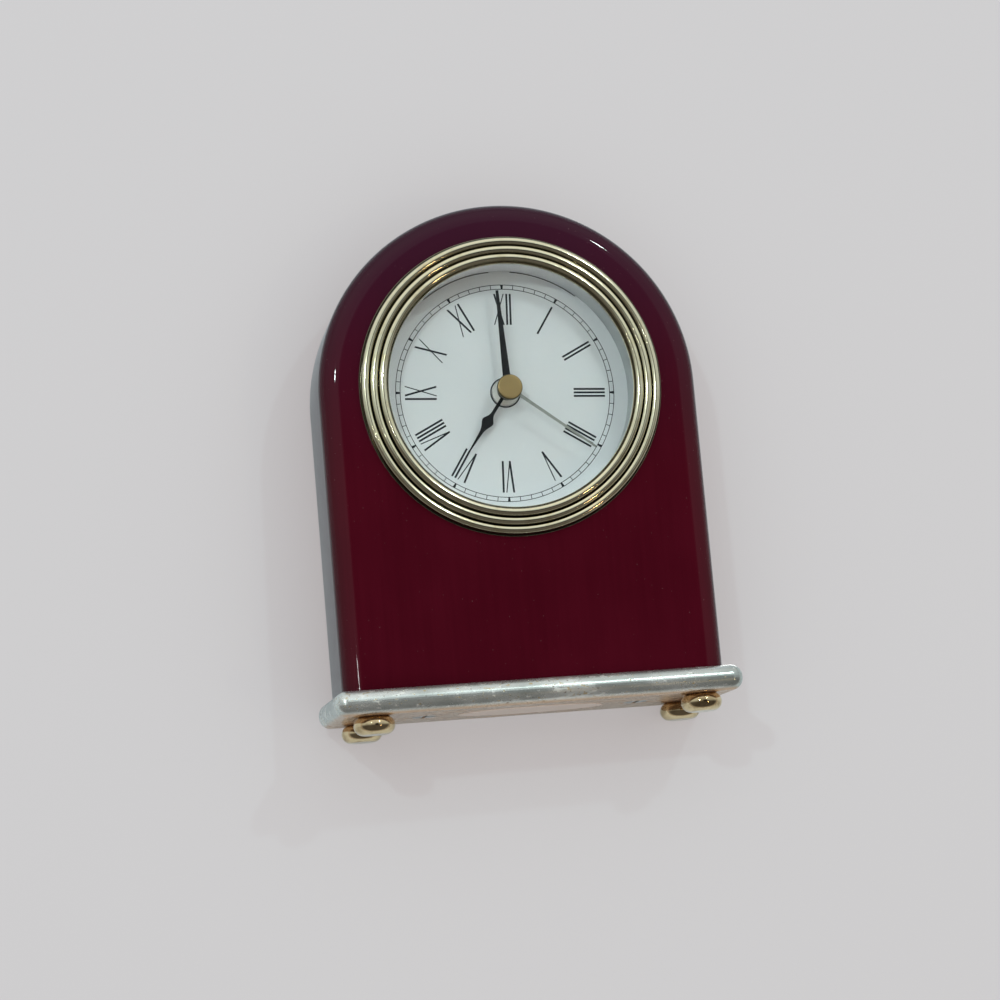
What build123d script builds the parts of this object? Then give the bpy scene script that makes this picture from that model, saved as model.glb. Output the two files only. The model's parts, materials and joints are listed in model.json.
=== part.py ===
from build123d import *
import os
from math import acos, cos, pi, radians, sin, sqrt, tau

os.makedirs("parts", exist_ok=True)

# Sizes are in millimetres and angles in degrees. The origin is on the table, under the
# middle of the base plate. X runs to the right, Y to the back and Z up.

# Case: an arch-topped block of lacquered wood, bored through for the clock insert
case_width = 99.2
case_depth = 29.5
case_shoulder = 76.1
case_front_round = 5.0
case_back_round = 2.0
case_setback = 5.0
bore_diameter = 70.0
bore_chamfer = 0.6
dial_rise = 0.3

# Base plate, which stands a little askew under the case, and its feet
plate_width = 106.0
plate_depth = 37.5
plate_thick = 6.5
plate_round = 3.0
plate_turn = 1.7
foot_diameter = 10.6
foot_height = 4.6
foot_flat = 6.0
foot_neck = 7.6
foot_inset_side = 10.25
foot_inset_deep = 7.4
stud_diameter = 3.0
stud_in_foot = 2.6
stud_in_plate = 3.8
base_screw_pitch = 56.0
base_screw_length = 16.0
base_screw_shank = 3.2
base_screw_head = 6.4
base_screw_cone = 2.0
label_long = 38.0
label_short = 17.0
label_thick = 0.12

# Drive recesses of every screw
slot_width = 0.16
slot_depth = 0.25

# Clock insert: bezel, lens, reflector, dial and cup
insert_turn = 3.0
bezel_overlap = 4.6
bezel_flange = 0.5
bezel_valley = 1.3
rib_count = 3
rib_pitch = 2.25
rib_rise = 0.95
rib_step = 0.35
bezel_lip = 2.9
lens_thick = 1.5
lens_inset = 1.2
reflector_wall = 0.6
dial_depth = 9.3
dial_thick = 0.5
dial_hole = 7.3
cup_wall = 0.9
cup_back = 1.5
cup_round = 1.0
grip_thick = 0.65
grip_start = 5.0
grip_ridge = 0.3
grip_ridge_width = 1.6
grip_ridge_pitch = 3.2
grip_ridge_count = 4
post_inset = 4.3
post_bearings = (90.0, 210.0, 330.0)
post_diameter = 3.6

# Movement plates and arbors
front_plate_thick = 1.4
rear_plate_thick = 1.4
gear_thick = 0.8
layer_gap = 0.5
arbor_diameter = 1.2
pivot_diameter = 0.9
pivot_length = 0.9
seconds_arbor = 1.0
cannon_diameter = 2.3
hour_pipe = 3.7
bush_diameter = 7.0
bush_stand = 0.5
reverser_post = 1.4
setting_shaft = 2.0
pillar_diameter = 3.2
plate_screw_shank = 1.4
plate_screw_head = 2.8
plate_screw_rise = 0.9
plate_margin = 1.0

# Gear train: tooth counts, centre distances as shares of the bore, and bearings from the front
rotor_teeth = 8
intermediate_teeth = 48
intermediate_pinion_teeth = 10
seconds_teeth = 50
seconds_pinion_teeth = 8
third_teeth = 60
third_pinion_teeth = 8
centre_teeth = 64
cannon_teeth = 12
reverser_teeth = 36
reverser_pinion_teeth = 10
hour_teeth = 40
setting_teeth = 12
third_share = 0.1286
intermediate_share = 0.1314
rotor_share = 0.1
motion_share = 0.1
third_bearing = 150.0
intermediate_bearing = 50.0
rotor_bearing = 20.0
motion_bearing = 200.0
pressure_angle = 25.0
tooth_addendum = 0.7
tooth_dedendum = 0.95
tooth_backlash = 0.05

# Hands, with lengths as shares of the dial's radius or of the hand, and the cap over them
hand_thick = 0.3
hour_hand_stand = 2.4
minute_hand_stand = 4.3
second_hand_stand = 6.1
hour_hand_share = 0.6
hour_hand_stem = 0.9
hour_hand_bulge = 3.1
bulge_start_share = 0.352
bulge_middle_share = 0.49
bulge_end_share = 0.684
hour_hand_tip = 0.3
minute_hand_share = 0.81
minute_hand_width = 2.2
minute_hand_tip = 0.7
second_hand_share = 0.835
second_hand_width = 0.9
second_hand_tip = 0.5
hand_rim = 0.7
cap_diameter = 6.7
cap_thick = 1.5
cap_round = 0.5
hour_hand_angle = 213.0
minute_hand_angle = -4.4
second_hand_angle = 125.0

# Stepping motor, with the coil's length as a share of the bore
magnet_diameter = 5.0
magnet_length = 2.2
stator_thick = 0.8
stator_air_gap = 0.4
stator_ring = 2.0
stator_band = 3.4
stator_leg = 3.6
coil_share = 0.3
coil_diameter = 6.8
bobbin_barrel = 4.0
bobbin_flange = 0.8
bobbin_rim = 0.2
core_width = 3.0

# Circuit board with a quartz crystal in its can and a sealed chip
board_width = 8.6
board_height = 16.0
board_thick = 0.8
board_stand = 1.2
board_boss = 3.0
crystal_diameter = 2.2
crystal_length = 6.4
chip_diameter = 5.0
chip_rise = 1.1

# Battery, an N cell in a 70 mm bore, its cradle and its door
cell_diameter_share = 0.1714
cell_length_share = 0.4314
cell_nub_diameter = 4.4
cell_nub_length = 0.9
cell_edge_round = 0.5
cradle_wall = 0.9
contact_thick = 0.4
contact_width = 7.0
contact_reach = 1.0
door_lip = 0.9
door_thick = 0.7
door_rib_count = 5
door_rib_pitch = 1.8
door_rib_width = 0.7
door_rib_length = 10.0
door_rib_rise = 0.4

# Setting knob
knob_diameter = 9.0
knob_thick = 2.4
knob_flute = 1.0
knob_flute_count = 18

# Clearances
bore_clearance = 0.05
running_clearance = 0.05
press_clearance = 0.01
fit_clearance = 0.1
part_clearance = 0.3

# Heights above the table and depths from front to back
plate_bottom = foot_height
plate_top = plate_bottom + plate_thick
arch_centre = plate_top + case_shoulder
dial_centre = arch_centre + dial_rise
case_front = case_setback - plate_depth / 2

# Feet in from the edges of the plate
foot_pitch_wide = plate_width - 2 * foot_inset_side
foot_pitch_deep = plate_depth - 2 * foot_inset_deep

# Sizes that follow the bore, so that the insert fits any case
bezel_diameter = bore_diameter + 2 * bezel_overlap
lens_opening = bore_diameter - 2 * bezel_lip
third_spacing = third_share * bore_diameter
intermediate_spacing = intermediate_share * bore_diameter
rotor_spacing = rotor_share * bore_diameter
motion_spacing = motion_share * bore_diameter
coil_length = coil_share * bore_diameter
cell_diameter = cell_diameter_share * bore_diameter
cell_length = cell_length_share * bore_diameter

# Radii of the insert, from the bore inwards
bore_radius = bore_diameter / 2
grip_radius = bore_radius - bore_clearance
cup_radius = grip_radius - grip_thick
cup_inner = cup_radius - cup_wall
inner_radius = cup_inner - fit_clearance
reflector_inner = inner_radius - reflector_wall
post_circle = inner_radius - post_inset

# Lengths of the hands
hour_hand_length = hour_hand_share * reflector_inner
hour_hand_bulge_start = bulge_start_share * hour_hand_length
hour_hand_bulge_middle = bulge_middle_share * hour_hand_length
hour_hand_bulge_end = bulge_end_share * hour_hand_length
minute_hand_length = minute_hand_share * reflector_inner
second_hand_length = second_hand_share * reflector_inner

# Depths of the insert behind the front of the case
lens_front = -lens_inset
lens_back = lens_front + lens_thick
dial_back = dial_depth + dial_thick
plate_back = dial_back + front_plate_thick


def layer(number):
    """Gives the depth of the front of one layer of gears, counted from the dial."""
    return plate_back + layer_gap + number * (gear_thick + layer_gap)


hour_layer = layer(0)
motion_layer = layer(1)
centre_layer = layer(2)
third_layer = layer(3)
seconds_layer = layer(4)
rotor_layer = layer(5)
rear_plate_front = layer(6)
rear_plate_back = rear_plate_front + rear_plate_thick
cradle_floor = plate_back + cradle_wall
cell_depth = cradle_floor + fit_clearance + cell_diameter / 2
cup_floor = cell_depth + cell_diameter / 2 + fit_clearance
cup_end = cup_floor + cup_back


def polar(radius, bearing):
    """Gives a point on the dial's plane from its distance and bearing."""
    return Vector(radius * cos(radians(bearing)), radius * sin(radians(bearing)))


# Axes of the train on the dial's plane
dial_axis = Vector(0, 0)
third_axis = polar(third_spacing, third_bearing)
intermediate_axis = polar(intermediate_spacing, intermediate_bearing)
rotor_axis = intermediate_axis + polar(rotor_spacing, rotor_bearing)
reverser_axis = polar(motion_spacing, motion_bearing)
setting_axis = reverser_axis + polar(motion_spacing, motion_bearing)


def module_of(spacing, teeth, other_teeth):
    """Gives the module with which two gears meet at a centre distance."""
    return 2 * spacing / (teeth + other_teeth)


rotor_module = module_of(rotor_spacing, rotor_teeth, intermediate_teeth)
intermediate_module = module_of(intermediate_spacing, intermediate_pinion_teeth, seconds_teeth)
third_module = module_of(third_spacing, third_teeth, seconds_pinion_teeth)
centre_module = module_of(third_spacing, centre_teeth, third_pinion_teeth)
reverser_module = module_of(motion_spacing, reverser_teeth, cannon_teeth)
hour_module = module_of(motion_spacing, hour_teeth, reverser_pinion_teeth)


def tip_radius(teeth, module):
    """Gives the outside radius of a gear."""
    return module * (teeth / 2 + tooth_addendum)


def involute(ratio):
    """Gives the angle that an involute has turned at a multiple of its base radius."""
    return sqrt(ratio**2 - 1) - acos(1 / ratio)


def gear_outline(teeth, module, phase):
    """Lists the corners of a gear's teeth, with the first tooth at an angle in radians."""
    pitch = module * teeth / 2
    base = pitch * cos(radians(pressure_angle))
    flank = (pitch - tooth_dedendum * module, pitch, tip_radius(teeth, module))
    half_tooth = pi / (2 * teeth) - tooth_backlash / (2 * pitch) + involute(pitch / base)
    halves = [half_tooth - involute(max(radius, base) / base) for radius in flank]
    rising = [(radius, -half) for radius, half in zip(flank, halves)]
    falling = [(radius, half) for radius, half in zip(reversed(flank), reversed(halves))]
    points = []
    for tooth in range(teeth):
        middle = phase + tau * tooth / teeth
        for radius, side in rising + falling:
            points.append((radius * cos(middle + side), radius * sin(middle + side)))
    return points


def mesh_phase(phase, teeth, other_teeth, bearing):
    """Turns a gear so that a gap of it faces a tooth of the gear that it meets."""
    line = radians(bearing)
    gap = line + pi - (phase - line) * teeth / other_teeth
    return gap + pi / other_teeth


# Tooth phases, so that every pair is in mesh
intermediate_pinion_phase = mesh_phase(0, seconds_teeth, intermediate_pinion_teeth, intermediate_bearing)
rotor_phase = mesh_phase(0, intermediate_teeth, rotor_teeth, rotor_bearing)
third_phase = mesh_phase(0, seconds_pinion_teeth, third_teeth, third_bearing)
centre_phase = mesh_phase(0, third_pinion_teeth, centre_teeth, third_bearing + 180)
reverser_phase = mesh_phase(0, cannon_teeth, reverser_teeth, motion_bearing)
hour_phase = mesh_phase(0, reverser_pinion_teeth, hour_teeth, motion_bearing + 180)
setting_phase = mesh_phase(reverser_phase, reverser_teeth, setting_teeth, motion_bearing)


def at_depth(depth, clock_angle=0):
    """Gives the insert's plane at a depth behind the front of the case, facing forwards."""
    turn = radians(insert_turn + clock_angle)
    return Plane(
        origin=(0, case_front + depth, dial_centre),
        x_dir=(cos(turn), 0, -sin(turn)),
        z_dir=(0, -1, 0),
    )


def disc(axis, diameter, front, back, mode=Mode.ADD):
    """Adds a round bar of the insert to the open part, or cuts a round hole."""
    with BuildSketch(at_depth(back)) as outline:
        with Locations(axis):
            Circle(diameter / 2)
    extrude(outline.sketch, amount=back - front, mode=mode)


def block(middle, width, height, front, back, mode=Mode.ADD):
    """Adds a rectangular bar of the insert to the open part, or cuts a square hole."""
    with BuildSketch(at_depth(back)) as outline:
        with Locations(middle):
            Rectangle(width, height)
    extrude(outline.sketch, amount=back - front, mode=mode)


def gear(axis, teeth, module, phase, front):
    """Adds one toothed disc of the train to the open part."""
    with BuildSketch(at_depth(front + gear_thick)) as outline:
        with Locations(axis):
            Polygon(*gear_outline(teeth, module, phase))
    extrude(outline.sketch, amount=gear_thick)


def pivots(axis):
    """Adds a pivot at each end of an arbor, in the two bearing plates."""
    disc(axis, pivot_diameter, plate_back - pivot_length, rear_plate_front + pivot_length)


def arbor(axis):
    """Adds an arbor that spans the two bearing plates, with its pivots."""
    disc(axis, arbor_diameter, plate_back + part_clearance, rear_plate_front - part_clearance)
    pivots(axis)


def on_plate(height):
    """Gives the base plate's own turned plane at a height above the table."""
    turn = radians(plate_turn)
    return Plane(origin=(0, 0, height), x_dir=(cos(turn), sin(turn), 0), z_dir=(0, 0, 1))


def upright(place):
    """Gives the upright plane through a spot on the base plate."""
    foot = on_plate(0).from_local_coords(Vector(*place))
    return Plane(origin=foot, x_dir=(1, 0, 0), z_dir=(0, -1, 0))


def save(piece, name):
    """Names a finished piece and writes it."""
    piece.part.label = name
    export_step(piece.part, f"parts/{name}.step")


foot_places = {
    "foot_front_left": (-foot_pitch_wide / 2, -foot_pitch_deep / 2),
    "foot_front_right": (foot_pitch_wide / 2, -foot_pitch_deep / 2),
    "foot_rear_left": (-foot_pitch_wide / 2, foot_pitch_deep / 2),
    "foot_rear_right": (foot_pitch_wide / 2, foot_pitch_deep / 2),
}
base_screw_places = [(-base_screw_pitch / 2, 0), (base_screw_pitch / 2, 0)]

# Case block
with BuildPart() as case_block:
    with BuildSketch(Plane(origin=(0, case_front, 0), x_dir=(1, 0, 0), z_dir=(0, -1, 0))):
        with BuildLine():
            Polyline(
                (-case_width / 2, arch_centre),
                (-case_width / 2, plate_top),
                (case_width / 2, plate_top),
                (case_width / 2, arch_centre),
            )
            CenterArc((0, arch_centre), case_width / 2, 0, 90)
            CenterArc((0, arch_centre), case_width / 2, 90, 90)
        make_face()
    extrude(amount=-case_depth)
    outer_edges = case_block.edges().filter_by(lambda edge: edge.center().Z > plate_top + part_clearance)
    fillet(outer_edges.group_by(Axis.Y)[0], case_front_round)
    rear_edges = case_block.edges().group_by(Axis.Y)[-1]
    fillet(rear_edges.filter_by(lambda edge: edge.center().Z > plate_top + part_clearance), case_back_round)
    with BuildSketch(at_depth(0)):
        Circle(bore_radius)
    extrude(amount=-case_depth, mode=Mode.SUBTRACT)
    rear_rim = case_block.edges().filter_by(GeomType.CIRCLE).sort_by(Axis.Y)
    chamfer(rear_rim.filter_by(lambda edge: edge.radius == bore_radius)[-1], bore_chamfer)
    with BuildSketch(on_plate(plate_top)):
        with Locations(*base_screw_places):
            Circle(base_screw_shank / 2 + fit_clearance)
    extrude(amount=base_screw_length - plate_thick + part_clearance, mode=Mode.SUBTRACT)
save(case_block, "case_block")

# Base plate
with BuildPart() as base_plate:
    with BuildSketch(on_plate(plate_bottom)):
        Rectangle(plate_width, plate_depth)
    extrude(amount=plate_thick)
    fillet(base_plate.edges(), plate_round)
    with BuildSketch(on_plate(plate_bottom)):
        with Locations(*foot_places.values()):
            Circle(stud_diameter / 2 + fit_clearance)
    extrude(amount=stud_in_plate + part_clearance, mode=Mode.SUBTRACT)
    with BuildSketch(on_plate(plate_bottom)):
        with Locations(*base_screw_places):
            Circle(base_screw_shank / 2 + fit_clearance)
    extrude(amount=plate_thick, mode=Mode.SUBTRACT)
    for place in base_screw_places:
        with BuildSketch(upright(place)):
            with BuildLine():
                Polyline(
                    (0, plate_bottom),
                    (base_screw_head / 2 + fit_clearance, plate_bottom),
                    (base_screw_shank / 2 + fit_clearance, plate_bottom + base_screw_cone),
                    (0, plate_bottom + base_screw_cone),
                    close=True,
                )
            make_face()
        revolve(axis=Axis(upright(place).origin, (0, 0, 1)), mode=Mode.SUBTRACT)
save(base_plate, "base_plate")

# Bun feet
for name, place in foot_places.items():
    with BuildPart() as foot:
        with BuildSketch(upright(place)):
            with BuildLine():
                base = Line((0, 0), (foot_flat / 2, 0))
                belly = (foot_diameter / 2, foot_height / 2)
                bulge = ThreePointArc(base @ 1, belly, (foot_neck / 2, foot_height))
                Polyline(bulge @ 1, (0, foot_height), (0, 0))
            make_face()
        revolve(axis=Axis(upright(place).origin, (0, 0, 1)))
        with BuildSketch(on_plate(foot_height)):
            with Locations(place):
                Circle(stud_diameter / 2 + fit_clearance)
        extrude(amount=-stud_in_foot - part_clearance, mode=Mode.SUBTRACT)
    save(foot, name)

# Studs that join the feet to the plate
with BuildPart() as foot_studs:
    with BuildSketch(on_plate(foot_height - stud_in_foot)):
        with Locations(*foot_places.values()):
            Circle(stud_diameter / 2)
    extrude(amount=stud_in_foot + stud_in_plate)
save(foot_studs, "foot_studs")

# Countersunk screws from the base plate up into the case
with BuildPart() as base_screws:
    for place in base_screw_places:
        with BuildSketch(upright(place)):
            with BuildLine():
                Polyline(
                    (0, plate_bottom),
                    (base_screw_head / 2, plate_bottom),
                    (base_screw_shank / 2, plate_bottom + base_screw_cone),
                    (base_screw_shank / 2, plate_bottom + base_screw_length - base_screw_shank),
                    (0, plate_bottom + base_screw_length),
                    close=True,
                )
            make_face()
        revolve(axis=Axis(upright(place).origin, (0, 0, 1)))
    with BuildSketch(on_plate(plate_bottom)):
        with Locations(*base_screw_places):
            Rectangle(base_screw_head, slot_width * base_screw_head)
            Rectangle(slot_width * base_screw_head, base_screw_head)
    extrude(amount=slot_depth * base_screw_shank, mode=Mode.SUBTRACT)
save(base_screws, "base_screws")

# Blank oval label under the base plate
with BuildPart() as underside_label:
    with BuildSketch(on_plate(plate_bottom)):
        Ellipse(label_long / 2, label_short / 2)
    extrude(amount=-label_thick)
save(underside_label, "underside_label")

# Bezel: half-round ribs that step up towards the lens, over a thin flange
with BuildPart() as bezel:
    with BuildSketch(Plane(at_depth(0).origin, x_dir=(1, 0, 0), z_dir=(0, 0, 1))):
        with BuildLine():
            outer_rib = lens_opening / 2 + rib_step + rib_count * rib_pitch
            seat = Polyline(
                (lens_opening / 2, -lens_inset),
                (inner_radius + fit_clearance, -lens_inset),
                (inner_radius + fit_clearance, 0),
                (bezel_diameter / 2, 0),
                (bezel_diameter / 2, -bezel_flange),
                (outer_rib, -bezel_flange),
                (outer_rib, -bezel_valley),
            )
            valley = seat @ 1
            for rib in range(rib_count):
                next_valley = valley - Vector(rib_pitch, rib_step)
                SagittaArc(valley, next_valley, rib_rise)
                valley = next_valley
            Polyline(valley, (lens_opening / 2, valley.Y + rib_step), seat @ 0)
        make_face()
    revolve(axis=Axis(at_depth(0).origin, (0, 1, 0)))
save(bezel, "bezel")

# Lens behind the bezel's lip
with BuildPart() as lens:
    disc(dial_axis, 2 * inner_radius, lens_front, lens_back)
save(lens, "lens")

# Reflector ring between the lens and the dial
with BuildPart() as reflector_ring:
    disc(dial_axis, 2 * inner_radius, lens_back, dial_depth)
    disc(dial_axis, 2 * reflector_inner, lens_back, dial_depth, Mode.SUBTRACT)
save(reflector_ring, "reflector_ring")

# Dial
with BuildPart() as dial:
    disc(dial_axis, 2 * inner_radius, dial_depth, dial_back)
    disc(dial_axis, dial_hole, dial_depth, dial_back, Mode.SUBTRACT)
save(dial, "dial")

# Battery door's outline and the hatch that it closes, on the back of the cup
cradle_inner_height = cell_diameter + 2 * fit_clearance
cradle_inner_length = cell_length + 2 * contact_thick + contact_reach
cradle_outer_height = cradle_inner_height + 2 * cradle_wall
cradle_outer_length = cradle_inner_length + 2 * cradle_wall
train_bottom = min(
    -tip_radius(centre_teeth, centre_module),
    reverser_axis.Y - tip_radius(reverser_teeth, reverser_module),
    setting_axis.Y - knob_diameter / 2,
)
pillar_radius = pillar_diameter / 2
plate_low = train_bottom - plate_margin
door_height = cradle_inner_height + 2 * door_lip
cell_axis = Vector(0, plate_low - part_clearance - max(cradle_outer_height, door_height) / 2)
door_length = cradle_inner_length + 2 * door_lip
door_front = cup_end - door_thick

# Cup of the insert, with posts that press the movement against the dial
post_places = [polar(post_circle, bearing) for bearing in post_bearings]
with BuildPart() as insert_housing:
    disc(dial_axis, 2 * cup_radius, 0, cup_end)
    fillet(insert_housing.edges().group_by(Axis.Y)[-1], cup_round)
    disc(dial_axis, 2 * cup_inner, 0, cup_floor, Mode.SUBTRACT)
    for place in post_places:
        disc(place, post_diameter, plate_back, cup_floor)
    block(cell_axis, cradle_inner_length, cradle_inner_height, cup_floor, cup_end, Mode.SUBTRACT)
    block(cell_axis, door_length, door_height, door_front, cup_end, Mode.SUBTRACT)
    disc(setting_axis, setting_shaft + 2 * running_clearance, cup_floor, cup_end, Mode.SUBTRACT)
save(insert_housing, "insert_housing")

# Rubber ring on the cup that grips the bore, with ridges all round
grip_end = grip_start + grip_ridge_count * grip_ridge_pitch
grip_groove = grip_ridge_pitch - grip_ridge_width
with BuildPart() as grip_ring:
    disc(dial_axis, 2 * (grip_radius - grip_ridge), grip_start, grip_end)
    for ridge in range(grip_ridge_count):
        ridge_start = grip_start + ridge * grip_ridge_pitch + grip_groove / 2
        disc(dial_axis, 2 * grip_radius, ridge_start, ridge_start + grip_ridge_width)
    disc(dial_axis, 2 * cup_radius, grip_start, grip_end, Mode.SUBTRACT)
save(grip_ring, "grip_ring")

# Front plate of the movement, with its bush, pillars, bearings and the reverser's post
stator_front = third_layer
stator_back = stator_front + stator_thick
core_back = stator_back + stator_thick
band_low = third_axis.Y + tip_radius(third_teeth, third_module) + part_clearance
band_middle = band_low + stator_band / 2
coil_middle = band_low + stator_band + part_clearance + coil_diameter / 2
coil_right = rotor_axis.X + magnet_diameter / 2
coil_centre = Vector(coil_right - coil_length / 2, coil_middle)
leg_offset = coil_length / 2 + part_clearance + stator_leg / 2
leg_places = [coil_centre + Vector(side * leg_offset, 0) for side in (-1, 1)]
lobe_diameter = magnet_diameter + 2 * stator_air_gap + 2 * stator_ring
pillar_right = rotor_axis.X + lobe_diameter / 2 + part_clearance
pillar_left = third_axis.X - tip_radius(third_teeth, third_module)
pillar_places = [
    Vector(setting_axis.X - pillar_diameter, plate_low + pillar_radius + plate_margin),
    Vector(pillar_right, plate_low + pillar_radius + plate_margin),
    Vector(pillar_right, rotor_axis.Y - lobe_diameter / 2),
    Vector(pillar_left, band_low),
]
board_middle = Vector(
    pillar_left - pillar_radius - part_clearance - board_width / 2,
    band_low - board_height / 2 + pillar_radius,
)
board_front = plate_back + board_stand
boss_places = [board_middle + Vector(0, end * (board_height - board_boss) / 2) for end in (-1, 1)]
with BuildPart() as front_plate:
    disc(dial_axis, 2 * inner_radius, dial_back, plate_back)
    disc(dial_axis, bush_diameter, dial_depth - bush_stand, dial_back)
    disc(dial_axis, hour_pipe + 2 * running_clearance, dial_depth - bush_stand, plate_back, Mode.SUBTRACT)
    disc(reverser_axis, reverser_post, plate_back, centre_layer - part_clearance)
    for place in pillar_places:
        disc(place, pillar_diameter, plate_back, rear_plate_front)
        disc(place, plate_screw_shank + 2 * press_clearance, stator_front, rear_plate_front, Mode.SUBTRACT)
    for place in leg_places:
        disc(place, stator_leg, plate_back, stator_front)
    for place in boss_places:
        disc(place, board_boss, plate_back, board_front)
    for axis in (third_axis, intermediate_axis, rotor_axis, setting_axis):
        bearing_hole = pivot_diameter + 2 * running_clearance
        disc(axis, bearing_hole, plate_back - pivot_length - running_clearance, plate_back, Mode.SUBTRACT)
save(front_plate, "front_plate")

# Rear plate of the movement
plate_left = min(place.X for place in pillar_places) - pillar_radius - plate_margin
plate_right = pillar_right + pillar_radius + plate_margin
plate_high = band_low + pillar_radius + plate_margin
plate_middle = Vector((plate_left + plate_right) / 2, (plate_low + plate_high) / 2)
with BuildPart() as rear_plate:
    with BuildSketch(at_depth(rear_plate_back)):
        with Locations(plate_middle):
            RectangleRounded(plate_right - plate_left, plate_high - plate_low, pillar_radius)
    extrude(amount=rear_plate_thick)
    for axis in (dial_axis, third_axis, intermediate_axis, rotor_axis):
        bearing_hole = pivot_diameter + 2 * running_clearance
        disc(axis, bearing_hole, rear_plate_front, rear_plate_back, Mode.SUBTRACT)
    shaft_hole = setting_shaft + 2 * running_clearance
    disc(setting_axis, shaft_hole, rear_plate_front, rear_plate_back, Mode.SUBTRACT)
    for place in pillar_places:
        screw_hole = plate_screw_shank + 2 * fit_clearance
        disc(place, screw_hole, rear_plate_front, rear_plate_back, Mode.SUBTRACT)
save(rear_plate, "rear_plate")

# Screws of the rear plate
with BuildPart() as plate_screws:
    for place in pillar_places:
        disc(place, plate_screw_head, rear_plate_back, rear_plate_back + plate_screw_rise)
        disc(place, plate_screw_shank, stator_front + part_clearance, rear_plate_back)
        slot_front = rear_plate_back + plate_screw_rise * (1 - slot_depth)
        slot_back = rear_plate_back + plate_screw_rise
        block(place, plate_screw_head, slot_width * plate_screw_head, slot_front, slot_back, Mode.SUBTRACT)
        block(place, slot_width * plate_screw_head, plate_screw_head, slot_front, slot_back, Mode.SUBTRACT)
save(plate_screws, "plate_screws")

# Heights of the hands, and the fronts of the pipes that carry them
hour_hand_back = dial_depth - hour_hand_stand
minute_hand_back = dial_depth - minute_hand_stand
second_hand_back = dial_depth - second_hand_stand
hour_pipe_front = hour_hand_back - hand_thick
cannon_front = minute_hand_back - hand_thick
seconds_arbor_front = second_hand_back - hand_thick - cap_thick / 2

# Seconds wheel, with the long arbor that carries the second hand
with BuildPart() as seconds_wheel:
    gear(dial_axis, seconds_teeth, intermediate_module, 0, seconds_layer)
    gear(dial_axis, seconds_pinion_teeth, third_module, 0, third_layer)
    disc(dial_axis, seconds_arbor, seconds_arbor_front, rear_plate_front - part_clearance)
    disc(dial_axis, pivot_diameter, seconds_layer, rear_plate_front + pivot_length)
save(seconds_wheel, "seconds_wheel")

# Third wheel
with BuildPart() as third_wheel:
    gear(third_axis, third_teeth, third_module, third_phase, third_layer)
    gear(third_axis, third_pinion_teeth, centre_module, 0, centre_layer)
    arbor(third_axis)
save(third_wheel, "third_wheel")

# Centre wheel, which drives the cannon pinion through the clutch spring
with BuildPart() as centre_wheel:
    gear(dial_axis, centre_teeth, centre_module, centre_phase, centre_layer)
    disc(dial_axis, cannon_diameter + 2 * running_clearance, centre_layer, third_layer, Mode.SUBTRACT)
save(centre_wheel, "centre_wheel")

# Intermediate wheel between the seconds wheel and the rotor
with BuildPart() as intermediate_wheel:
    gear(intermediate_axis, intermediate_teeth, rotor_module, 0, rotor_layer)
    gear(
        intermediate_axis,
        intermediate_pinion_teeth,
        intermediate_module,
        intermediate_pinion_phase,
        seconds_layer,
    )
    arbor(intermediate_axis)
save(intermediate_wheel, "intermediate_wheel")

# Rotor of the stepping motor
magnet_front = (stator_front + stator_back - magnet_length) / 2
magnet_back = magnet_front + magnet_length
with BuildPart() as rotor_pinion:
    gear(rotor_axis, rotor_teeth, rotor_module, rotor_phase, rotor_layer)
    arbor(rotor_axis)
save(rotor_pinion, "rotor_pinion")
with BuildPart() as rotor_magnet:
    disc(rotor_axis, magnet_diameter, magnet_front, magnet_back)
    disc(rotor_axis, arbor_diameter + 2 * press_clearance, magnet_front, magnet_back, Mode.SUBTRACT)
save(rotor_magnet, "rotor_magnet")

# Cannon pinion, the pipe that carries the minute hand
with BuildPart() as cannon_pinion:
    gear(dial_axis, cannon_teeth, reverser_module, 0, motion_layer)
    disc(dial_axis, cannon_diameter, cannon_front, third_layer - part_clearance)
    disc(dial_axis, seconds_arbor + 2 * running_clearance, cannon_front, third_layer, Mode.SUBTRACT)
save(cannon_pinion, "cannon_pinion")

# Clutch spring between the cannon pinion and the centre wheel
clutch_diameter = 2 * tip_radius(cannon_teeth, reverser_module)
clutch_front = motion_layer + gear_thick
clutch_back = centre_layer - running_clearance
with BuildPart() as clutch_spring:
    disc(dial_axis, clutch_diameter, clutch_front, clutch_back)
    disc(dial_axis, cannon_diameter + 2 * press_clearance, clutch_front, clutch_back, Mode.SUBTRACT)
save(clutch_spring, "clutch_spring")

# Reverser wheel on its post
with BuildPart() as reverser_wheel:
    gear(reverser_axis, reverser_teeth, reverser_module, reverser_phase, motion_layer)
    disc(reverser_axis, 2 * reverser_post, hour_layer + gear_thick, motion_layer)
    gear(reverser_axis, reverser_pinion_teeth, hour_module, 0, hour_layer)
    disc(reverser_axis, reverser_post + 2 * running_clearance, hour_layer, centre_layer, Mode.SUBTRACT)
save(reverser_wheel, "reverser_wheel")

# Hour wheel, with the pipe that carries the hour hand
with BuildPart() as hour_wheel:
    gear(dial_axis, hour_teeth, hour_module, hour_phase, hour_layer)
    disc(dial_axis, hour_pipe, hour_pipe_front, hour_layer)
    disc(dial_axis, cannon_diameter + 2 * running_clearance, hour_pipe_front, motion_layer, Mode.SUBTRACT)
save(hour_wheel, "hour_wheel")

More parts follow.
